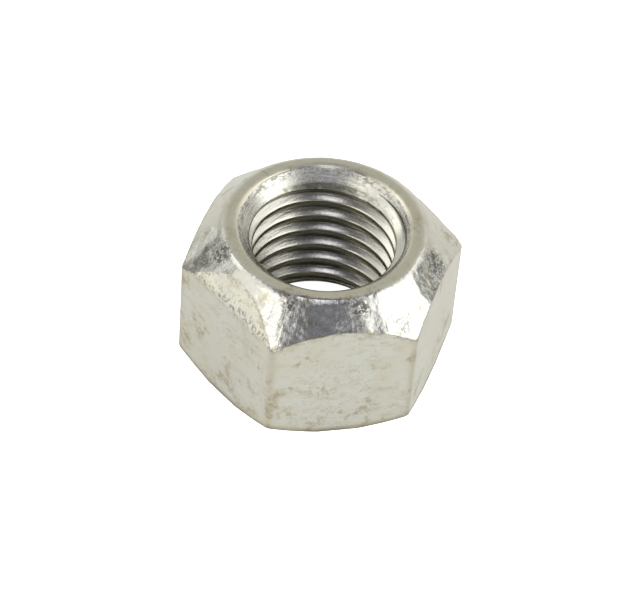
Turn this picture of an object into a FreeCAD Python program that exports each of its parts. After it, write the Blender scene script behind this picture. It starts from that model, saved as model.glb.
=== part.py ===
"""All-metal locking hex nut, M16 coarse thread, made in one piece from steel.

A slug is forged to a hexagon with a conical crown, and the bore is pierced and countersunk at both ends.
Last, two opposite sides of the crown are pressed inwards. That squeezes the upper threads, so the nut grips
its bolt. The bore is drawn at its drilled size, which is the crest of the thread: the tap's groove isn't cut.

Frame: the origin is the centre of the bearing face. +Z runs along the thread's axis towards the crown, and
the two pressed facets face +Y and -Y.
"""
import FreeCAD, Part
import os

import Sketcher

NODE = "hex_nut"

# Alias, content of the cell, meaning. Lengths are in millimetres and angles in degrees.
SIZES = [
    ("across_flats", "24.0", "width across the wrench flats"),
    ("nut_height", "15.9", "bearing face to the top of the lip"),
    ("corner_round", "0.65", "radius along the six upright edges"),
    ("lip_radius", "9.7", "outer edge of the flat lip around the mouth"),
    ("lip_round", "0.2", "radius on the lip's outer edge"),
    ("crown_slope", "44.5", "slope of the conical crown below the lip"),
    ("bearing_radius", "12.15", "where the chamfer under the corners starts"),
    ("bearing_slope", "33.0", "slope of that chamfer"),
    ("upper_mouth", "8.6", "radius of the countersink at the lip"),
    ("lower_mouth", "8.3", "radius of the countersink at the bearing face"),
    ("mouth_slope", "45.0", "slope of both countersinks"),
    ("facet_height", "12.2", "lower edge of the pressed facets, on the flats"),
    ("facet_lean", "26.5", "lean of the pressed facets from upright"),
    ("thread_pitch", "2.0", "height that the thread gains in one turn"),
    ("major_radius", "8.0", "root of the thread, the bolt's nominal size"),
    ("overrun", "1.0", "how far a cutting profile runs past the metal"),
    ("minor_radius", "=major_radius - 0.54127 * thread_pitch", "bore, which is the thread's crest"),
    ("blank_radius", "=across_flats / sqrt(3) + overrun", "just outside the corners"),
    ("crown_drop", "=(blank_radius - lip_radius) * tan(crown_slope * 1deg)", "cone at that radius"),
    ("chamfer_rise", "=(blank_radius - bearing_radius) * tan(bearing_slope * 1deg)", "chamfer there"),
    ("upper_sink", "=(upper_mouth - minor_radius) * tan(mouth_slope * 1deg)", "countersink's depth"),
    ("lower_sink", "=(lower_mouth - minor_radius) * tan(mouth_slope * 1deg)", "countersink's depth"),
    ("facet_inset", "=(nut_height - facet_height) * tan(facet_lean * 1deg)", "facet's lean at the lip's height"),
]

# How Sketcher numbers the ends of a line, the centre of a circle and the sketch's own axes and origin.
START, END, CENTRE = 1, 2, 3
X_AXIS, Y_AXIS = -1, -2
ORIGIN = (X_AXIS, START)


def make_sheet(doc):
    """Fill the spreadsheet of sizes, one row each: name, value, meaning."""
    sheet = doc.addObject("Spreadsheet::Sheet", "sizes")
    for row, (alias, content, meaning) in enumerate(SIZES, start=1):
        sheet.set(f"A{row}", alias)
        sheet.set(f"C{row}", meaning)
        sheet.setAlias(f"B{row}", alias)
        sheet.set(f"B{row}", content)
        doc.recompute()
    return sheet


def origin_part(body, role):
    """Find one of the body's own origin planes or axes by its role."""
    return next(part for part in body.Origin.OriginFeatures if part.Role == role)


def new_sketch(body, name, role):
    """Make an empty sketch on one of the body's origin planes."""
    sketch = body.newObject("Sketcher::SketchObject", name)
    sketch.AttachmentSupport = [(origin_part(body, role), "")]
    sketch.MapMode = "FlatFace"
    return sketch


def value_of(owner, expression):
    """Work out an expression of the sheet's cells as a plain number."""
    return float(owner.evalExpression(expression))


def closed_profile(sketch, corners):
    """Draw lines through the corners and tie both coordinates of each corner to the sheet.

    A corner is a pair of expressions. "0" puts it on the sketch's own axis.
    """
    places = [FreeCAD.Vector(*(value_of(sketch, text) for text in corner)) for corner in corners]
    for start, end in zip(places, places[1:] + places[:1]):
        sketch.addGeometry(Part.LineSegment(start, end))
    for line, (corner, place) in enumerate(zip(corners, places)):
        following = (line + 1) % len(corners)
        sketch.addConstraint(Sketcher.Constraint("Coincident", line, END, following, START))
        for kind, zero_axis, text, value in zip(("DistanceX", "DistanceY"), (Y_AXIS, X_AXIS), corner, place):
            if text == "0":
                sketch.addConstraint(Sketcher.Constraint("PointOnObject", line, START, zero_axis))
                continue
            index = sketch.addConstraint(Sketcher.Constraint(kind, *ORIGIN, line, START, value))
            sketch.setExpression(f"Constraints[{index}]", text)


def hexagon(sketch):
    """Draw six equal sides with their corners on a construction circle, the first corner on +X."""
    corner_radius = value_of(sketch, "sizes.across_flats / sqrt(3)")
    sides = 6
    spoke = FreeCAD.Vector(corner_radius, 0, 0)
    turn = FreeCAD.Rotation(FreeCAD.Vector(0, 0, 1), 360 / sides)
    for _ in range(sides):
        following = turn.multVec(spoke)
        sketch.addGeometry(Part.LineSegment(spoke, following))
        spoke = following
    circle = sketch.addGeometry(Part.Circle(FreeCAD.Vector(), FreeCAD.Vector(0, 0, 1), corner_radius), True)
    for line in range(sides):
        sketch.addConstraint(Sketcher.Constraint("Coincident", line, END, (line + 1) % sides, START))
        sketch.addConstraint(Sketcher.Constraint("PointOnObject", line, START, circle))
        if line > 0:
            sketch.addConstraint(Sketcher.Constraint("Equal", 0, line))
    sketch.addConstraint(Sketcher.Constraint("Coincident", circle, CENTRE, *ORIGIN))
    sketch.addConstraint(Sketcher.Constraint("PointOnObject", 0, START, X_AXIS))
    index = sketch.addConstraint(Sketcher.Constraint("Radius", circle, corner_radius))
    sketch.setExpression(f"Constraints[{index}]", "sizes.across_flats / sqrt(3)")


def forge_prism(body):
    """Pad the hexagon to the nut's height and round its six upright edges."""
    outline = new_sketch(body, "hexagon", "XY_Plane")
    hexagon(outline)
    prism = body.newObject("PartDesign::Pad", "prism")
    prism.Profile = outline
    prism.setExpression("Length", "sizes.nut_height")
    body.Document.recompute()
    round_edges(body, "upright_edges", prism, is_upright, "sizes.corner_round")


def is_upright(edge):
    """Tell whether an edge runs straight up."""
    return isinstance(edge.Curve, Part.Line) and abs(edge.tangentAt(edge.FirstParameter).z) > 0.999


def round_edges(body, name, base, wanted, radius):
    """Fillet every edge of the base feature that the test picks out."""
    edges = [f"Edge{i}" for i, edge in enumerate(base.Shape.Edges, start=1) if wanted(edge)]
    fillet = body.newObject("PartDesign::Fillet", name)
    fillet.Base = (base, edges)
    fillet.setExpression("Radius", radius)
    body.Document.recompute()


def turn_away(body, name, corners):
    """Groove a profile drawn in the XZ plane all the way round the thread's axis."""
    outline = new_sketch(body, f"{name}_profile", "XZ_Plane")
    closed_profile(outline, corners)
    groove = body.newObject("PartDesign::Groove", name)
    groove.Profile = outline
    groove.ReferenceAxis = (origin_part(body, "Z_Axis"), [""])
    groove.Angle = 360
    cut(body, groove)
    return groove


def cut(body, feature):
    """Recompute a cutting feature and make sure that it took metal away."""
    before = feature.BaseFeature.Shape.Volume
    body.Document.recompute()
    if not feature.Shape.Volume < before - 1:
        raise RuntimeError(f"{feature.Name} removed nothing")


def shape_crown(body):
    """Turn the cone below the lip, and round the lip's outer edge."""
    cone = turn_away(body, "crown", [
        ("sizes.lip_radius", "sizes.nut_height"),
        ("sizes.blank_radius", "sizes.nut_height"),
        ("sizes.blank_radius", "sizes.nut_height - sizes.crown_drop"),
    ])
    lip_radius = value_of(cone, "sizes.lip_radius")
    height = value_of(cone, "sizes.nut_height")

    def is_lip(edge):
        circle = edge.Curve
        return isinstance(circle, Part.Circle) and abs(circle.Radius - lip_radius) < 0.01 and (
            abs(circle.Center.z - height) < 0.01)

    round_edges(body, "lip_edge", cone, is_lip, "sizes.lip_round")


def shape_bearing_face(body):
    """Chamfer the corners around the bearing face, which leaves it nearly round."""
    turn_away(body, "bearing_chamfer", [
        ("sizes.bearing_radius", "0"),
        ("sizes.blank_radius", "0"),
        ("sizes.blank_radius", "sizes.chamfer_rise"),
    ])


def pierce_bore(body):
    """Open the bore at the thread's crest radius, with a countersink at each end."""
    turn_away(body, "bore", [
        ("0", "0"),
        ("sizes.lower_mouth", "0"),
        ("sizes.minor_radius", "sizes.lower_sink"),
        ("sizes.minor_radius", "sizes.nut_height - sizes.upper_sink"),
        ("sizes.upper_mouth", "sizes.nut_height"),
        ("0", "sizes.nut_height"),
    ])


def press_facets(body):
    """Lean a flat facet on the +Y side of the crown, and mirror it to the -Y side."""
    flat = "sizes.across_flats / 2"
    outline = new_sketch(body, "facet_profile", "YZ_Plane")
    closed_profile(outline, [
        (flat, "sizes.facet_height"),
        (f"{flat} + sizes.overrun", "sizes.facet_height"),
        (f"{flat} + sizes.overrun", "sizes.nut_height"),
        (f"{flat} - sizes.facet_inset", "sizes.nut_height"),
    ])
    facet = body.newObject("PartDesign::Pocket", "pressed_facet")
    facet.Profile = outline
    facet.SideType = "Symmetric"
    facet.setExpression("Length", "2 * sizes.blank_radius")
    cut(body, facet)
    pair = body.newObject("PartDesign::Mirrored", "pressed_facets")
    pair.Originals = [facet]
    pair.MirrorPlane = (origin_part(body, "XZ_Plane"), [""])
    body.Tip = pair
    body.Document.recompute()


def make_nut(doc):
    """Build the nut's body, in the order in which the real one is made."""
    body = doc.addObject("PartDesign::Body", NODE)
    body.Label = NODE
    forge_prism(body)
    shape_crown(body)
    shape_bearing_face(body)
    pierce_bore(body)
    press_facets(body)
    return body


def check(doc, body):
    """Stop if any object failed to build, or if the nut isn't one valid solid."""
    failed = [item.Name for item in doc.Objects if {"Invalid", "Error"} & set(item.State)]
    if failed:
        raise RuntimeError(f"failed: {failed}")
    if body.Shape.isNull() or not body.Shape.isValid() or len(body.Shape.Solids) != 1:
        raise RuntimeError(f"{body.Label} is not one valid solid")


document = FreeCAD.newDocument("locking_nut")
make_sheet(document)
nut = make_nut(document)
check(document, nut)

os.makedirs("parts", exist_ok=True)
nut.Shape.exportStep(f"parts/{nut.Label}.step")
box = nut.Shape.optimalBoundingBox()
print(f"{nut.Label}: {box.XLength:.2f} x {box.YLength:.2f} x {box.ZLength:.2f} mm, "
      f"{nut.Shape.Volume:.0f} mm3, {len(nut.Shape.Faces)} faces")
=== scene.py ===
import math

import bmesh
import bpy
import numpy as np
from mathutils import Matrix, Vector


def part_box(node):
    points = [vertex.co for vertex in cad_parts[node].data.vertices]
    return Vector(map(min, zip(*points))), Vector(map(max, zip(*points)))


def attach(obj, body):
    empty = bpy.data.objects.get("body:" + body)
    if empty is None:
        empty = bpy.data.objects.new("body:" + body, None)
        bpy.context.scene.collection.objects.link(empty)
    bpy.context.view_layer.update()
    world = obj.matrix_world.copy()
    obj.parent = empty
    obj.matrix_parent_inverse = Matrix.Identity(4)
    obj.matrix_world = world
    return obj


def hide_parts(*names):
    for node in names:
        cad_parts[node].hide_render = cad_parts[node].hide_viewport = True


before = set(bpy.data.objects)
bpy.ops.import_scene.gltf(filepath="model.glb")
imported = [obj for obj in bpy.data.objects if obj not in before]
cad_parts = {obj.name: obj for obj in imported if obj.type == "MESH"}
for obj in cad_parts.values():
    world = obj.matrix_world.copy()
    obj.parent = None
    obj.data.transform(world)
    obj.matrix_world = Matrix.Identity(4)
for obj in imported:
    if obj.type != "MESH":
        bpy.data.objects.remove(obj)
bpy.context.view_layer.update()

MM = 0.001

# ------------------------------------------------------------------------------------------------------------
# The nut. One forging of medium-carbon steel, hexagonal with a conical crown, pierced, countersunk at both
# ends and tapped, then squeezed on two opposite sides of the crown so that the top threads grip the bolt, and
# last zinc plated. Its surface is one closed skin: an outside grid and a bore grid that share their rims.
# ------------------------------------------------------------------------------------------------------------

nut_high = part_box("hex_nut")[1]
height = nut_high.z
flat_radius = nut_high.y
corner_round = 0.65 * MM

# A coarse M16 thread on 24 mm flats, so the bolt is two thirds as wide as the nut. The nut is 7.95 pitches
# high. The thread's depth from crest to root is 5/8 of the height of a 60 degree triangle on one pitch.
PITCHES_HIGH = 7.95
THREAD_DEPTH = 0.54127
pitch = height / PITCHES_HIGH
major_radius = flat_radius * 2 / 3
minor_radius = major_radius - THREAD_DEPTH * pitch


def wave(angle, *terms):
    """Sum of cosines around the axis: each term is (amplitude, number of lobes, angle of one crest)."""
    return sum(size * np.cos(lobes * (angle - np.radians(crest))) for size, lobes, crest in terms)


def soft_max(first, second, blend):
    """The larger of two heights, with the crease between them rounded over a width of about blend."""
    share = np.clip(0.5 + 0.5 * (first - second) / blend, 0, 1)
    return second + (first - second) * share + blend * share * (1 - share)


def column_angles():
    """Angles of the grid's columns: even steps along the flats, crowded over the six rounded corners."""
    over_corner = np.radians(np.linspace(-1.36, 1.36, 9))
    beside = np.radians([1.5, 1.75, 2.2, 3.0])
    along_flat = np.radians(np.linspace(4.2, 30, 18))[:-1]
    side = np.concatenate([beside, along_flat])
    sector = np.concatenate([-side[::-1], over_corner, side, [np.radians(30)]])
    return np.concatenate([sector + math.radians(60 * k) for k in range(6)])


def angle_off_corner(angle):
    """Angle from the nearest of the six upright edges, the first of which stands on +X."""
    return (angle + math.pi / 6) % (math.pi / 3) - math.pi / 6


def hexagon_radius(angle):
    """Distance from the axis to the wrench flats, or to the arc that rounds the corner between two."""
    off_corner = angle_off_corner(angle)
    flat = flat_radius / np.cos(math.pi / 6 - np.abs(off_corner))
    centre = (flat_radius - corner_round) / math.cos(math.pi / 6)
    reach = np.sqrt(np.maximum(corner_round**2 - (centre * np.sin(off_corner)) ** 2, 0))
    arc_ends = math.atan(corner_round / 2 / (centre + corner_round * math.cos(math.pi / 6)))
    return np.where(np.abs(off_corner) < arc_ends, centre * np.cos(off_corner) + reach, flat)


angles = column_angles()
hexagon = hexagon_radius(angles)

# The crown and the two mouths. The lip and the upper mouth are a little off centre and off round.
cone_top = 9.55 * MM
lip_radius = 9.70 * MM + wave(angles, (0.08 * MM, 1, 226))
mouth_radius = 8.64 * MM + wave(angles, (0.095 * MM, 1, 226), (0.083 * MM, 2, 316))
crown_slope = math.tan(math.radians(44.5))
bearing_radius = 12.15 * MM
bearing_slope = math.tan(math.radians(33))
lower_mouth = 8.3 * MM
mouth_slope = math.radians(45)

# side, lean as a tangent, height of the lower edge at mid-flat, tilt of that edge along the flat
FACETS = [
    (-1, math.tan(math.radians(26.5)), 12.2 * MM, 0.06),
    (1, math.tan(math.radians(26.5)), 12.2 * MM, 0.0),
]
LEAST_FACET = 0.05 * MM
LEAST_SHARE = 0.2

# The corners of the outline, from the lower mouth out and up to the upper mouth, and what lies between them.
LOWER_MOUTH, BEARING_EDGE, LOW_EDGE, FACET_FOOT, CROWN_EDGE, LIP_EDGE, UPPER_MOUTH = range(7)
ZONES = ["bearing", "bearing", "flat", "facet", "cone", "lip"]


def facet_line(angle, side, lean, lower_edge, tilt):
    """Where a pressed facet lies above each column: radius = (start - lean * z) / share.

    The facet is the plane side * y = flat_radius - lean * (z - lower_edge - tilt * side * x). Columns that
    face away from it have no share.
    """
    share = side * np.sin(angle) - lean * tilt * side * np.cos(angle)
    start = np.full_like(angle, flat_radius + lean * lower_edge)
    return start, np.where(share > LEAST_SHARE, share, np.nan)


def corner_at(radius, z):
    """One corner of the outline in every column. Its radius or height may be a single number for all."""
    return np.stack([np.broadcast_to(radius, angles.shape), np.broadcast_to(z, angles.shape)], 1)


def outline_corners():
    """Corners of the nut's outside in the half-plane of every column: array (column, corner, radius or z).

    From the lower mouth out along the bearing face, up the chamfer, the flat, the pressed facet and the cone,
    and in over the lip to the upper mouth. Where a column misses a feature, two corners coincide.
    """
    chamfer_top = np.maximum(hexagon - bearing_radius, 0) * bearing_slope
    cone_meets_flat = height - (hexagon - cone_top) * crown_slope
    facet_foot = cone_meets_flat.copy()
    ridge_radius, ridge_z = hexagon.copy(), cone_meets_flat.copy()
    for side, lean, lower_edge, tilt in FACETS:
        start, share = facet_line(angles, side, lean, lower_edge, tilt)
        foot = (start - hexagon * share) / lean
        radius = (start - lean * (height + cone_top * crown_slope)) / (share - lean * crown_slope)
        hit = (foot < cone_meets_flat) & (radius < hexagon) & (radius > lip_radius)
        facet_foot = np.where(hit, foot, facet_foot)
        ridge_radius = np.where(hit, radius, ridge_radius)
        ridge_z = np.where(hit, height - (radius - cone_top) * crown_slope, ridge_z)
    uneven = wave(angles, (0.03 * MM, 17, 12), (0.025 * MM, 29, 3), (0.02 * MM, 43, 5))
    ridge_z = ridge_z + uneven
    facet_foot = np.where(facet_foot < cone_meets_flat - LEAST_FACET, facet_foot - uneven, ridge_z)
    corners = [
        corner_at(lower_mouth, 0),
        corner_at(np.minimum(hexagon, bearing_radius), 0),
        corner_at(hexagon, chamfer_top),
        corner_at(hexagon, facet_foot),
        corner_at(ridge_radius, ridge_z),
        corner_at(lip_radius, height),
        corner_at(mouth_radius, height),
    ]
    return np.stack(corners, 1)


corner_points = outline_corners()

# How far each corner's rounding reaches along its sides, and how full the rounding is: 1 is a parabola that
# touches both sides, and a smaller number lies nearer to a straight bevel. The lip reaches further down.
mouth_round = 0.41 * MM
ROUNDS = [mouth_round, 0.22 * MM, 0.16 * MM, 0.35 * MM, 0.22 * MM, 0.60 * MM, mouth_round]
BULGES = [1, 1, 1, 1, 1, 0.85, 1]
LIP_BEVEL = 0.80 * MM
MOST_OF_SIDE = 0.49
ROWS_OVER_CORNER = [5, 5, 5, 5, 5, 7, 7]
ROWS_BETWEEN = [6, 3, 20, 9, 10, 3]

ZONE_NAMES = ["flat", "facet", "cone", "lip", "bearing", "bore"]
# Masks of wear and of painted light: root carries the painted shade in the thread's roots, and lip_edge the
# painted highlight on the lip.
WEAR_AND_PAINTED_LIGHT_NAMES = ["low_edge", "crown_edge", "lip_edge", "upright_edge", "facet_foot", "root", "sink"]


def outside_grid():
    """Rows of points along the outline of every column, with its corners rounded.

    A corner becomes a parabola whose ends lie a given length along the two sides, or 0.49 of a shorter side.
    A straight stretch gets rows that crowd towards its ends. Returns (column, row, 2) and zone weights.
    """
    before = np.concatenate([corner_points[:, :1], corner_points[:, :-1]], 1)
    after = np.concatenate([corner_points[:, 1:], corner_points[:, -1:]], 1)
    inwards, inwards_z = -math.cos(mouth_slope) * MM, math.sin(mouth_slope) * MM
    before[:, LOWER_MOUTH] = corner_points[:, LOWER_MOUTH] + (inwards, inwards_z)
    after[:, UPPER_MOUTH] = corner_points[:, UPPER_MOUTH] + (inwards, -inwards_z)
    back, ahead = before - corner_points, after - corner_points
    back_length = np.linalg.norm(back, axis=2)
    ahead_length = np.linalg.norm(ahead, axis=2)
    reach = np.minimum(np.array(ROUNDS), MOST_OF_SIDE * np.minimum(back_length, ahead_length))[..., None]
    reach_back = reach.copy()
    reach_back[:, LIP_EDGE] = LIP_BEVEL
    starts = corner_points + back / np.maximum(back_length, 1e-12)[..., None] * reach_back
    ends = corner_points + ahead / np.maximum(ahead_length, 1e-12)[..., None] * reach
    rows, weights = [], []
    names = ["bore"] + ZONES + ["bore"]
    for k in range(corner_points.shape[1]):
        for t in np.linspace(0, 1, ROWS_OVER_CORNER[k]):
            middle = corner_points[:, k] * 2 - starts[:, k] - ends[:, k]
            rows.append((1 - t) * starts[:, k] + t * ends[:, k] + BULGES[k] * t * (1 - t) * middle)
            late = max(2 * t - 1, 0)
            weights.append([(names[k] == z) * (1 - late) + (names[k + 1] == z) * late for z in ZONE_NAMES])
        if k < len(ROWS_BETWEEN):
            inner = np.linspace(0, 1, ROWS_BETWEEN[k] + 2)[1:-1]
            for t in 0.5 - 0.5 * np.cos(math.pi * inner):
                rows.append((1 - t) * ends[:, k] + t * starts[:, k + 1])
                weights.append([float(ZONES[k] == z) for z in ZONE_NAMES])
    return np.stack(rows, 1), np.array(weights)


# The thread. Its root is a little shallower than the standard one, and its bends are rounded over widths.
# The groove's centre stands at a given height on the +X side, and every turn raises it by one pitch.
root_radius = major_radius - 0.15 * MM
ROOT_BEND, CREST_BEND, SINK_BEND = 0.25 * MM, 0.14 * MM, 0.10 * MM
GROOVE_OVER_X = -1.40 * MM

# Rows of one turn, in half pitches out from the groove's centre to a crest's. They crowd at the bends.
OUT_FROM_GROOVE = np.array([0.06, 0.12, 0.17, 0.27, 0.44, 0.62, 0.71, 0.75, 0.79, 0.87])
ROW_OFFSETS = np.concatenate([[-1.0], -OUT_FROM_GROOVE[::-1], [0.0], OUT_FROM_GROOVE]) * pitch / 2

# Pressing the facets squeezes the bore across them, from nothing at one height to the full depth at another.
SQUEEZE_DEPTH = 0.12 * MM
SQUEEZE_STARTS, SQUEEZE_FULL = 9 * MM, 14 * MM


def thread_radius(offset):
    """Radius of the tapped wall at a height off the groove's centre: flat root, 30 degree flank, flat crest.

    The flank is a line of slope sqrt(3) that is at the major radius 1/16 pitch off the centre.
    """
    flank = major_radius + (pitch / 16 - np.abs(offset)) * math.sqrt(3)
    floor = -soft_max(-np.full_like(offset, root_radius), -flank, ROOT_BEND)
    return soft_max(floor, np.full_like(offset, minor_radius), CREST_BEND)


def bore_grid():
    """Rows that climb with the thread, one pitch a turn, and stop at the rims of the two mouths.

    The radius is the largest of the thread and the two countersinks. Rows past a rim all lie on it. Also
    returns how deep the painted shade lies at each point of the thread, from 0 at the crest to nearly 1 at
    the root and less near the upper mouth, and 1 where the point lies in a countersink.
    """
    turns = np.arange(-2, math.ceil(height / pitch) + 2)
    heights = (turns[:, None] * pitch + ROW_OFFSETS).ravel() + GROOVE_OVER_X
    offsets = np.tile(ROW_OFFSETS, len(turns))
    inset = mouth_round * math.sin(mouth_slope)
    z = heights[None, :] + pitch * angles[:, None] / (2 * math.pi)
    z = np.clip(z, inset, height - inset)
    radius = thread_radius(np.broadcast_to(offsets, z.shape))
    wall_depth = (radius - minor_radius) / (major_radius - minor_radius)
    risen = np.clip((z - SQUEEZE_STARTS) / (SQUEEZE_FULL - SQUEEZE_STARTS), 0, 1)
    radius = radius - SQUEEZE_DEPTH * risen**2 * np.sin(angles)[:, None] ** 4
    upper = mouth_radius[:, None] - (height - z) / math.tan(mouth_slope)
    lower = lower_mouth - z / math.tan(mouth_slope)
    radius = soft_max(soft_max(radius, upper, SINK_BEND), lower, SINK_BEND)
    on_rim = (z <= inset) | (z >= height - inset)
    sink = np.maximum(upper, lower) > radius - SINK_BEND / 2
    # The painted shade in the roots is fainter towards the upper mouth.
    shade_deepening = np.clip((height - 1.3 * MM - z) / MM, 0.3, 1)
    root_shade = np.where(sink, 0, wall_depth) * shade_deepening
    radius = np.where(on_rim, np.maximum(upper, lower), radius)
    return np.stack([radius, z], 2), root_shade, sink.astype(float)


def skin_faces(columns, rows, first, seam_shift):
    """Quads of a grid that closes round the axis. The last column meets the first seam_shift rows higher."""
    index = first + np.arange(columns * rows).reshape(columns, rows)
    left, right = index[:-1], index[1:]
    between = np.stack([left[:, :-1], right[:, :-1], right[:, 1:], left[:, 1:]], -1).reshape(-1, 4)
    last, opening = index[-1, : rows - seam_shift], index[0, seam_shift:]
    seam = np.stack([last[:-1], opening[:-1], opening[1:], last[1:]], -1).reshape(-1, 4)
    return np.concatenate([between, seam])


def turned(grid):
    """Points of a grid of (radius, z), each column turned to its own angle, as one list."""
    radius, z = grid[..., 0], grid[..., 1]
    points = np.stack([radius * np.cos(angles)[:, None], radius * np.sin(angles)[:, None], z], -1)
    return points.reshape(-1, 3)


def wear_and_painted_light_weights(outside, root_shade, sink):
    """One weight per wear or painted-light name for every point: how near it is to an edge, how deep the
    painted shade in the thread's roots lies, or if it is in a sink.

    Nearness to an edge at distance d is exp(-(d / width)^2).
    """
    def nearness(corner, width):
        distance = np.linalg.norm(outside - corner_points[:, corner : corner + 1], axis=2)
        return np.exp(-((distance / width) ** 2)).ravel()

    upright = np.exp(-((angle_off_corner(angles) * hexagon / (0.4 * MM)) ** 2))
    on_outside = {
        "low_edge": nearness(LOW_EDGE, 0.42 * MM),
        "crown_edge": np.maximum(nearness(FACET_FOOT, 0.3 * MM), nearness(CROWN_EDGE, 0.3 * MM)),
        "lip_edge": nearness(LIP_EDGE, 0.16 * MM),
        "upright_edge": np.repeat(upright, outside.shape[1]),
        "facet_foot": nearness(FACET_FOOT, 1.3 * MM),
    }
    in_bore = {"root": root_shade.ravel(), "sink": sink.ravel()}
    no_outside, no_bore = np.zeros(outside.shape[0] * outside.shape[1]), np.zeros(root_shade.size)
    weights = [
        np.concatenate([on_outside.get(name, no_outside), in_bore.get(name, no_bore)]) for name in WEAR_AND_PAINTED_LIGHT_NAMES
    ]
    return np.stack(weights, 1)


def build_nut():
    """Join the outside and the bore into one closed mesh whose points carry their zone, wear and
    painted-light weights.
    """
    outside, outside_zones = outside_grid()
    bore, root_shade, sink = bore_grid()
    columns = len(angles)
    outside_points, bore_points = turned(outside), turned(bore)
    outside_faces = skin_faces(columns, outside.shape[1], 0, 0)
    bore_faces = skin_faces(columns, bore.shape[1], len(outside_points), len(ROW_OFFSETS))
    points = np.concatenate([outside_points, bore_points])
    faces = np.concatenate([outside_faces, bore_faces[:, ::-1]])
    mesh = bpy.data.meshes.new("hex_nut_skin")
    mesh.from_pydata(points.tolist(), [], faces.tolist())

    bore_zone = [float(name == "bore") for name in ZONE_NAMES]
    zones = np.concatenate([np.tile(outside_zones, (columns, 1)), np.tile(bore_zone, (len(bore_points), 1))])
    marks = np.concatenate([zones, wear_and_painted_light_weights(outside, root_shade, sink)], 1)
    for k, name in enumerate(ZONE_NAMES + WEAR_AND_PAINTED_LIGHT_NAMES):
        attribute = mesh.attributes.new(name, "FLOAT", "POINT")
        attribute.data.foreach_set("value", marks[:, k].astype(np.float32))

    merged = bmesh.new()
    merged.from_mesh(mesh)
    bmesh.ops.remove_doubles(merged, verts=merged.verts, dist=1e-6)
    bmesh.ops.dissolve_degenerate(merged, edges=merged.edges, dist=1e-7)
    merged.to_mesh(mesh)
    merged.free()
    mesh.shade_smooth()
    return mesh


nut = bpy.data.objects.new("locking_nut", build_nut())
bpy.context.scene.collection.objects.link(nut)
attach(nut, "root")
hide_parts("hex_nut")


def add(tree, kind, **settings):
    """Add a node to a tree and set its properties. Numbers and links for its inputs go through feed()."""
    node = tree.nodes.new(kind)
    for name, value in settings.items():
        setattr(node, name, value)
    return node


def feed(tree, node, **inputs):
    """Give a node's inputs values or links. An input goes by its label, or by in0, in1 for a numbered one."""
    for name, value in inputs.items():
        key = int(name[2:]) if name[:2] == "in" and name[2:].isdigit() else name.replace("_", " ")
        if isinstance(value, bpy.types.NodeSocket):
            tree.links.new(value, node.inputs[key])
        else:
            node.inputs[key].default_value = value
    return node


def math_node(tree, operation, first, second=0.0, clamp=False):
    """One arithmetic step between two numbers or sockets."""
    node = add(tree, "ShaderNodeMath", operation=operation, use_clamp=clamp)
    return feed(tree, node, in0=first, in1=second).outputs[0]


def vector_node(tree, operation, first, second=(0.0, 0.0, 0.0)):
    """One step between two vectors. Returns the node: some steps put out a vector, and some a number."""
    return feed(tree, add(tree, "ShaderNodeVectorMath", operation=operation), in0=first, in1=second)


def product(tree, first, *others):
    """Several values multiplied together."""
    for other in others:
        first = math_node(tree, "MULTIPLY", first, other)
    return first


def all_but(tree, share):
    """What a share leaves of the whole: 1 minus it."""
    return math_node(tree, "SUBTRACT", 1.0, share)


def ramp(tree, value, low, high, to_low=0.0, to_high=1.0):
    """Smoothly carry a value from the span low..high to the span to_low..to_high."""
    node = add(tree, "ShaderNodeMapRange", interpolation_type="SMOOTHSTEP")
    feed(tree, node, Value=value, From_Min=low, From_Max=high, To_Min=to_low, To_Max=to_high)
    return node.outputs[0]


def blend_value(tree, share, first, second):
    """Mix two numbers by a share from 0 to 1."""
    node = add(tree, "ShaderNodeMix", data_type="FLOAT")
    return feed(tree, node, in0=share, in2=first, in3=second).outputs[0]


def blend_colour(tree, share, first, second):
    """Mix two colours by a share from 0 to 1."""
    node = add(tree, "ShaderNodeMix", data_type="RGBA")
    return feed(tree, node, in0=share, in6=first, in7=second).outputs[2]


def coated(tree, colour, *coats):
    """Lay coats over a colour one after another. Each is a pair: the share that it covers, and its colour."""
    for share, coat in coats:
        colour = blend_colour(tree, share, colour, coat)
    return colour


def noise(tree, place, scale, detail=3.0, roughness=0.5):
    """Fractal noise at a place, with scale in cells per metre."""
    node = add(tree, "ShaderNodeTexNoise")
    return feed(tree, node, Vector=place, Scale=scale, Detail=detail, Roughness=roughness).outputs[0]


def stretched(tree, place, factors):
    """The place with its three axes scaled, so that a noise read there is drawn out along the small ones."""
    node = add(tree, "ShaderNodeMapping")
    return feed(tree, node, Vector=place, Scale=factors).outputs[0]


def stroke(tree, value, centre, width):
    """1 where a value is within width of centre, fading to 0: turns a noise into thin winding lines."""
    off = math_node(tree, "ABSOLUTE", math_node(tree, "SUBTRACT", value, centre))
    return ramp(tree, off, width, width * 0.3, 0.0, 1.0)


def pits(tree, place, scale, radius, share):
    """Small round pits: in a share of the cells of a lattice, a disc of the given part of a cell."""
    cells = add(tree, "ShaderNodeTexVoronoi")
    feed(tree, cells, Vector=place, Scale=scale, Randomness=1.0)
    chosen = ramp(tree, cells.outputs["Color"], 1 - share, 1.02 - share)
    return product(tree, chosen, ramp(tree, cells.outputs["Distance"], radius, radius * 0.5))


# Colours of the plating: first the clean zinc from zone to zone, then its marks and stains, then painted
# shade and a painted reflection in the bore.
WARM_ZINC = (0.572, 0.557, 0.472, 1)
COOL_ZINC = (0.66, 0.655, 0.63, 1)
BORE_ZINC = (0.64, 0.63, 0.58, 1)
PRESSED_ZINC = (0.80, 0.775, 0.67, 1)
LIP_ZINC = (0.60, 0.58, 0.48, 1)
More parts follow.
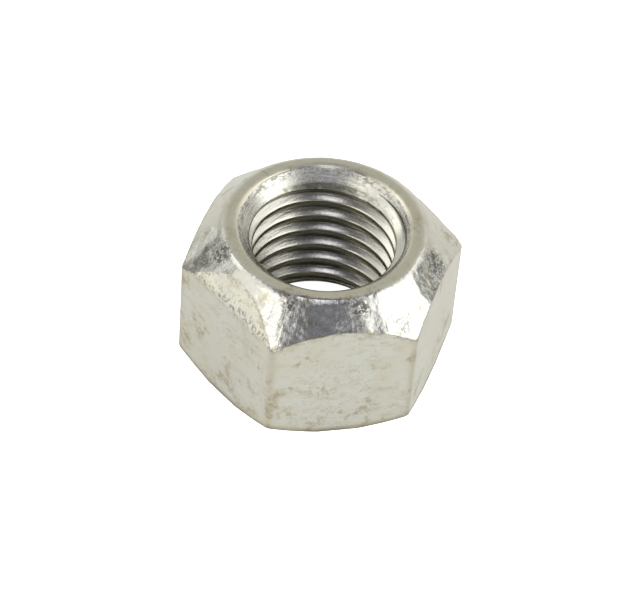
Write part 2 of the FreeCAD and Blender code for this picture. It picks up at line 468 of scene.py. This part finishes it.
# Colour of a painted highlight along the lip's outer edge.
LIP_PAINTED_HIGHLIGHT = (0.92, 0.90, 0.82, 1)
COOL_PATCH = (0.59, 0.60, 0.55, 1)
PALE_PATCH = (0.62, 0.63, 0.58, 1)
DULL_PATCH = (0.50, 0.465, 0.36, 1)
EDGE_STAIN = (0.40, 0.355, 0.255, 1)
BROWN_STAIN = (0.36, 0.30, 0.19, 1)
RIM_STAIN = (0.24, 0.20, 0.125, 1)
CREASE_STAIN = (0.30, 0.26, 0.18, 1)
PIT_BLACK = (0.09, 0.085, 0.075, 1)
# Colour of a painted reflection on the thread's crests: brighter and yellower than the bore's zinc.
CREST_PAINTED_REFLECTION = (0.72, 0.69, 0.53, 1)
# Colour of the painted shade in the thread's roots.
ROOT_PAINTED_SHADE = (0.085, 0.08, 0.05, 1)
# Colour of the painted shade at the countersink's foot.
SINK_FOOT_PAINTED_SHADE = (0.15, 0.145, 0.10, 1)

# Direction from the axis to the side of the crown that is rubbed bright.
RUBBED_SIDE = (0.725, -0.688, 0)

# angle in degrees, distance from the axis, height and reach of each dark, pitted patch on the crown
BRUISES = [
    (338, 10.4 * MM, 15.0 * MM, 1.6 * MM),
    (302, 10.4 * MM, 15.0 * MM, 1.2 * MM),
    (250, 10.4 * MM, 15.0 * MM, 2.0 * MM),
    (34, 10.9 * MM, 14.5 * MM, 2.4 * MM),
]
RELIEF_DEPTH = 0.04 * MM


def shared_patterns(tree, place):
    """Noises and measures that several effects read, by name.

    Ray is a noise of the direction from the axis, so its marks run down the crown. Rubbed goes from 1 towards
    the rubbed side to -1 away from it, made uneven by the mottle.
    """
    mottle = noise(tree, stretched(tree, place, (1, 1, 1.8)), 560, 6, 0.68)
    level = vector_node(tree, "MULTIPLY", place, (1, 1, 0)).outputs[0]
    outward = vector_node(tree, "NORMALIZE", level).outputs[0]
    rubbed = vector_node(tree, "DOT_PRODUCT", outward, RUBBED_SIDE).outputs["Value"]
    axes = feed(tree, add(tree, "ShaderNodeSeparateXYZ"), Vector=place)
    return {
        "broad": noise(tree, place, 150, 3),
        "mottle": mottle,
        "speck": noise(tree, place, 2200, 4, 0.7),
        "ray": noise(tree, outward, 34, 6, 0.75),
        "rubbed": math_node(tree, "ADD", rubbed, ramp(tree, mottle, 0.3, 0.7, -0.2, 0.2)),
        "z": axes.outputs["Z"],
    }


def zone_shares(tree, pattern):
    """How far each point belongs to every zone, wear mark and painted-light mask of the mesh, and to five
    more worked out here.

    The crown is the cone and its facets, and the cone is burnished on its rubbed side. Burnished metal and
    the bore are polished, all but the bore is outer, and the thread is the bore without its countersinks.
    """
    on = {}
    for name in ZONE_NAMES + WEAR_AND_PAINTED_LIGHT_NAMES:
        on[name] = add(tree, "ShaderNodeAttribute", attribute_name=name).outputs["Fac"]
    on["crown"] = math_node(tree, "ADD", on["cone"], on["facet"], clamp=True)
    on["burnished"] = product(tree, on["cone"], ramp(tree, pattern["rubbed"], 0.0, 0.35, 0.1, 1.0))
    on["polished"] = math_node(tree, "ADD", on["burnished"], on["bore"], clamp=True)
    on["outer"] = all_but(tree, on["bore"])
    on["thread"] = product(tree, on["bore"], all_but(tree, on["sink"]))
    return on


def clean_zinc(tree, on, pattern):
    """Colour of the plating: warm grey on the flats, cooler where it is polished, in soft patches, and a
    painted highlight along the lip's outer edge.
    """
    cool = product(tree, ramp(tree, pattern["broad"], 0.42, 0.62, 0.0, 0.6), on["outer"])
    edge = product(tree, on["upright_edge"], on["flat"], ramp(tree, pattern["mottle"], 0.36, 0.6, 0.2, 0.75))
    # A painted highlight: a pale cream line along the lip's outer edge, left off the burnished side.
    painted_lip_highlight = product(tree, on["lip_edge"], all_but(tree, on["burnished"]), 0.8)
    pale = product(tree, ramp(tree, pattern["mottle"], 0.42, 0.68, 0.0, 0.5), on["outer"])
    dull = product(tree, ramp(tree, pattern["mottle"], 0.5, 0.33, 0.0, 0.75), on["outer"])
    return coated(
        tree,
        blend_colour(tree, on["polished"], WARM_ZINC, COOL_ZINC),
        (product(tree, on["bore"], 0.9), BORE_ZINC),
        (product(tree, on["facet"], 0.9), PRESSED_ZINC),
        (cool, COOL_PATCH),
        (edge, EDGE_STAIN),
        (on["lip"], LIP_ZINC),
        (painted_lip_highlight, LIP_PAINTED_HIGHLIGHT),
        (pale, PALE_PATCH),
        (dull, DULL_PATCH),
    )


def stained(tree, colour, place, on, pattern):
    """Lay brown over a colour: blotches, most of them low down and by upright edges, lines, rim, crease."""
    low_part = ramp(tree, pattern["z"], 8.5 * MM, 1 * MM)
    reach = math_node(tree, "ADD", product(tree, low_part, 0.06), product(tree, on["upright_edge"], 0.07))
    blotch = math_node(tree, "ADD", noise(tree, place, 400, 6, 0.75), reach)
    blotch = product(tree, ramp(tree, blotch, 0.56, 0.69, 0.0, 0.75), all_but(tree, on["polished"]))
    line = stroke(tree, noise(tree, stretched(tree, place, (1, 1, 2.2)), 300, 4, 0.7), 0.5, 0.010)
    line = product(tree, line, ramp(tree, pattern["broad"], 0.45, 0.6), all_but(tree, on["polished"]), 0.55)
    rim = product(tree, on["low_edge"], ramp(tree, pattern["mottle"], 0.3, 0.6, 0.6, 1.0))
    crease = product(tree, on["crown_edge"], ramp(tree, pattern["speck"], 0.45, 0.62, 0.0, 0.6))
    return coated(
        tree, colour, (blotch, BROWN_STAIN), (line, BROWN_STAIN), (rim, RIM_STAIN), (crease, CREASE_STAIN)
    )


def dark_pits(tree, place, on, pattern):
    """Where the plating is pitted through: lone pits, crowds of them on the crown, and tool chatter."""
    lone = pits(tree, place, 520, 0.07, 0.10)
    crowd = ramp(tree, noise(tree, place, 210, 2), 0.56, 0.68, 0.0, 0.5)
    for turn, radius, z, reach in BRUISES:
        centre = (radius * math.cos(math.radians(turn)), radius * math.sin(math.radians(turn)), z)
        away = vector_node(tree, "DISTANCE", place, centre).outputs["Value"]
        crowd = math_node(tree, "MAXIMUM", crowd, ramp(tree, away, reach, reach * 0.3))
    crowd = math_node(tree, "MAXIMUM", crowd, product(tree, on["facet"], on["facet_foot"], 0.75))
    tick = noise(tree, stretched(tree, place, (1, 1, 0.6)), 3400, 4, 0.7)
    pitting = ramp(tree, math_node(tree, "ADD", tick, product(tree, crowd, 0.15)), 0.59, 0.65)
    spots = math_node(tree, "MAXIMUM", lone, product(tree, pitting, crowd, on["crown"]))
    upper_sink = ramp(tree, pattern["z"], height - 0.95 * MM, height - 0.5 * MM)
    dashes = noise(tree, stretched(tree, place, (0.45, 0.45, 1)), 3600, 4, 0.7)
    chatter = product(tree, on["sink"], upper_sink, ramp(tree, dashes, 0.50, 0.58))
    return math_node(tree, "MAXIMUM", spots, product(tree, chatter, 0.6))


def bore_painted_light(tree, colour, on, pattern):
    """Paint shade over a colour in the thread's roots and at the countersink's foot, and paint a brighter,
    yellower reflection on the crests.
    """
    # A painted reflection: the crests are tinted brighter and yellower, standing in for the warm light they
    # reflect.
    crest = product(tree, on["thread"], ramp(tree, on["root"], 0.12, 0.0, 0.0, 0.8))
    # Painted shade: the thread's roots darken almost to black.
    root = ramp(tree, on["root"], 0.55, 0.75, 0.0, 0.95)
    # Painted shade at the countersink's foot, on the side away from the rubbed side.
    foot = product(tree, on["sink"], ramp(tree, pattern["z"], height - 1.15 * MM, height - 1.4 * MM))
    foot = product(tree, foot, ramp(tree, pattern["rubbed"], -0.6, -1.0, 0.0, 0.85))
    return coated(tree, colour, (crest, CREST_PAINTED_REFLECTION), (root, ROOT_PAINTED_SHADE), (foot, SINK_FOOT_PAINTED_SHADE))


def plating_roughness(tree, on, pattern, spots):
    """Matte on the dull zinc, smooth where it is polished, more even in the bore, and rougher in a pit."""
    matte = ramp(tree, pattern["mottle"], 0.3, 0.7, 0.34, 0.48)
    shiny = ramp(tree, pattern["speck"], 0.35, 0.7, 0.10, 0.30)
    rough = blend_value(tree, on["polished"], matte, shiny)
    rough = blend_value(tree, product(tree, on["bore"], 0.8), rough, 0.25)
    rough = math_node(tree, "ADD", rough, product(tree, spots, 0.25), clamp=True)
    return math_node(tree, "ADD", rough, product(tree, on["sink"], 0.02), clamp=True)


def plating_relief(tree, place, on, pattern, spots):
    """Height of the fine relief: grain, marks and dents, each times its zone and strength, less the pits."""
    bore_marks = noise(tree, stretched(tree, place, (0.05, 0.05, 1)), 6000, 3, 0.6)
    sink_marks = noise(tree, stretched(tree, place, (0.04, 0.04, 1)), 5000, 4, 0.7)
    relief = product(tree, noise(tree, place, 3600, 3, 0.6), 0.7)
    for mark in (
        product(tree, pattern["ray"], on["crown"], 0.9),
        product(tree, bore_marks, on["bore"]),
        product(tree, sink_marks, on["sink"], 3.0),
        product(tree, pattern["ray"], on["sink"], 0.15),
        product(tree, pattern["mottle"], on["outer"], 0.9),
        product(tree, noise(tree, place, 620, 2, 0.5), on["cone"], 7.0),
    ):
        relief = math_node(tree, "ADD", relief, mark)
    return math_node(tree, "SUBTRACT", relief, product(tree, spots, 0.7))


def zinc_plating():
    """Bright zinc: rough and warm on the flats, polished on the crown and in the bore, stained and pitted,
    with painted shade and a painted reflection in the bore and a painted highlight on the lip.
    """
    material = bpy.data.materials.new("bright_zinc_plating")
    material.use_nodes = True
    tree = material.node_tree
    surface = tree.nodes["Principled BSDF"]
    place = add(tree, "ShaderNodeTexCoord").outputs["Object"]
    pattern = shared_patterns(tree, place)
    on = zone_shares(tree, pattern)
    spots = dark_pits(tree, place, on, pattern)
    colour = stained(tree, clean_zinc(tree, on, pattern), place, on, pattern)
    colour = coated(tree, colour, (product(tree, spots, 0.85), PIT_BLACK))
    # Painted shade in the roots and at the countersink's foot, and a painted reflection on the crests.
    colour = bore_painted_light(tree, colour, on, pattern)
    rough = plating_roughness(tree, on, pattern, spots)
    bump = add(tree, "ShaderNodeBump")
    relief = plating_relief(tree, place, on, pattern, spots)
    feed(tree, bump, Strength=0.5, Distance=RELIEF_DEPTH, Height=relief)
    feed(tree, surface, Base_Color=colour, Roughness=rough, Metallic=1.0, Normal=bump.outputs[0])
    return material


nut.data.materials.append(zinc_plating())

# ------------------------------------------------------------------------------------------------------------
# The camera. A long lens that looks down on the nut at about 46 degrees. Its place is counted in widths
# across the flats from the nut's origin: to the camera's right, up and back.
# ------------------------------------------------------------------------------------------------------------

VIEW_AZIMUTH = math.radians(46.49)
VIEW_ELEVATION = math.radians(45.67)
VIEW_ROLL = math.radians(5.0)
CAMERA_RIGHT, CAMERA_UP, CAMERA_BACK = 0.0045, 0.1540, 11.925


def towards(azimuth, elevation):
    """Unit vector from the nut towards a place. Its azimuth, in degrees, counts from the camera's own."""
    level = math.cos(math.radians(elevation))
    turn = VIEW_AZIMUTH + math.radians(azimuth)
    return (math.sin(turn) * level, -math.cos(turn) * level, math.sin(math.radians(elevation)))


def aim_camera():
    """Stand a long lens off the nut, aimed a little above its origin and rolled slightly."""
    camera = bpy.data.objects.new("camera", bpy.data.cameras.new("camera"))
    bpy.context.scene.collection.objects.link(camera)
    camera.data.lens = 161.9
    camera.data.sensor_width = 36
    camera.data.clip_start = 10 * MM
    right = Vector((math.cos(VIEW_AZIMUTH), math.sin(VIEW_AZIMUTH), 0))
    back = Vector(towards(0, math.degrees(VIEW_ELEVATION)))
    up = back.cross(right)
    across = 2 * flat_radius
    place = (CAMERA_RIGHT * right + CAMERA_UP * up + CAMERA_BACK * back) * across
    turn = Matrix((right, up, back)).transposed() @ Matrix.Rotation(VIEW_ROLL, 3, "Z")
    camera.matrix_world = Matrix.Translation(place) @ turn.to_4x4()
    bpy.context.scene.camera = camera


aim_camera()

# ------------------------------------------------------------------------------------------------------------
# The floor. A pale, matte table top under the nut. It shows as plain white, and it glows around the nut but
# not under its bore, which keeps the thread's roots dark.
# ------------------------------------------------------------------------------------------------------------

FLOOR_REACH = 2.0
FLOOR_GREY = (0.62, 0.62, 0.61, 1)
GLOW_STARTS, GLOW_FULL = 8 * MM, 13.5 * MM
GLOW = 0.56


def lay_floor():
    """A square in the bearing face's plane, whose glow grows from the bore's edge to past the corners."""
    mesh = bpy.data.meshes.new("floor")
    signs = [(-1, -1), (1, -1), (1, 1), (-1, 1)]
    corners = [(FLOOR_REACH * x, FLOOR_REACH * y, 0) for x, y in signs]
    mesh.from_pydata(corners, [], [(0, 1, 2, 3)])
    floor = bpy.data.objects.new("floor", mesh)
    bpy.context.scene.collection.objects.link(floor)
    material = bpy.data.materials.new("pale_table")
    material.use_nodes = True
    tree = material.node_tree
    surface = tree.nodes["Principled BSDF"]
    feed(tree, surface, Base_Color=FLOOR_GREY, Roughness=1.0, Specular_IOR_Level=0.0)
    place = add(tree, "ShaderNodeTexCoord").outputs["Object"]
    away = vector_node(tree, "LENGTH", place).outputs["Value"]
    glow = ramp(tree, away, GLOW_STARTS, GLOW_FULL, 0.0, GLOW)
    seen = add(tree, "ShaderNodeLightPath").outputs["Is Camera Ray"]
    strength = math_node(tree, "ADD", glow, seen)
    feed(tree, surface, Emission_Color=(1, 1, 1, 1), Emission_Strength=strength)
    mesh.materials.append(material)


lay_floor()

# ------------------------------------------------------------------------------------------------------------
# The light. The surroundings are white, with soft round patches painted over them: bright ones are lamps, and
# dark ones are openings that give the polished metal its black reflections.
# ------------------------------------------------------------------------------------------------------------

ROOM_WHITE = (1.0, 1.0, 0.98, 1)

# azimuth, elevation, radius of the even part, width of its soft edge (degrees), red, green and blue radiance
PATCHES = [
    (180, 50, 35, 25, (0.66, 0.65, 0.60)),
    (-115, 16, 9, 10, (0.18, 0.18, 0.16)),
    (114, 14, 6, 10, (0.22, 0.22, 0.20)),
    (-77, 6, 12, 12, (1.18, 1.16, 1.07)),
    (-112, 40, 10, 8, (1.8, 1.78, 1.7)),
    (125, 38, 8, 8, (1.5, 1.48, 1.4)),
    (8, 52, 27, 7, (0.25, 0.25, 0.28)),
    (0, 76, 24, 10, (0.11, 0.11, 0.13)),
    (3, 74, 5, 6, (2.1, 2.1, 2.25)),
    (0, 64, 5, 5, (1.3, 1.3, 1.4)),
    (-58, 34, 14, 8, (1.3, 1.28, 1.17)),
    (-46, 40, 6, 6, (2.3, 2.25, 2.1)),
    (80, 33, 18, 8, (2.1, 2.1, 2.04)),
]


def light_studio():
    """White surroundings with the patches painted over them, one after another."""
    world = bpy.data.worlds.new("studio")
    bpy.context.scene.world = world
    world.use_nodes = True
    tree = world.node_tree
    direction = add(tree, "ShaderNodeTexCoord").outputs["Generated"]
    colour = ROOM_WHITE
    for azimuth, elevation, radius, edge, radiance in PATCHES:
        dot = vector_node(tree, "DOT_PRODUCT", direction, towards(azimuth, elevation)).outputs["Value"]
        inner, outer = math.cos(math.radians(radius)), math.cos(math.radians(radius + edge))
        colour = blend_colour(tree, ramp(tree, dot, outer, inner), colour, (*radiance, 1))
    tree.links.new(colour, tree.nodes["Background"].inputs["Color"])


light_studio()
bpy.context.scene.view_settings.view_transform = "Standard"
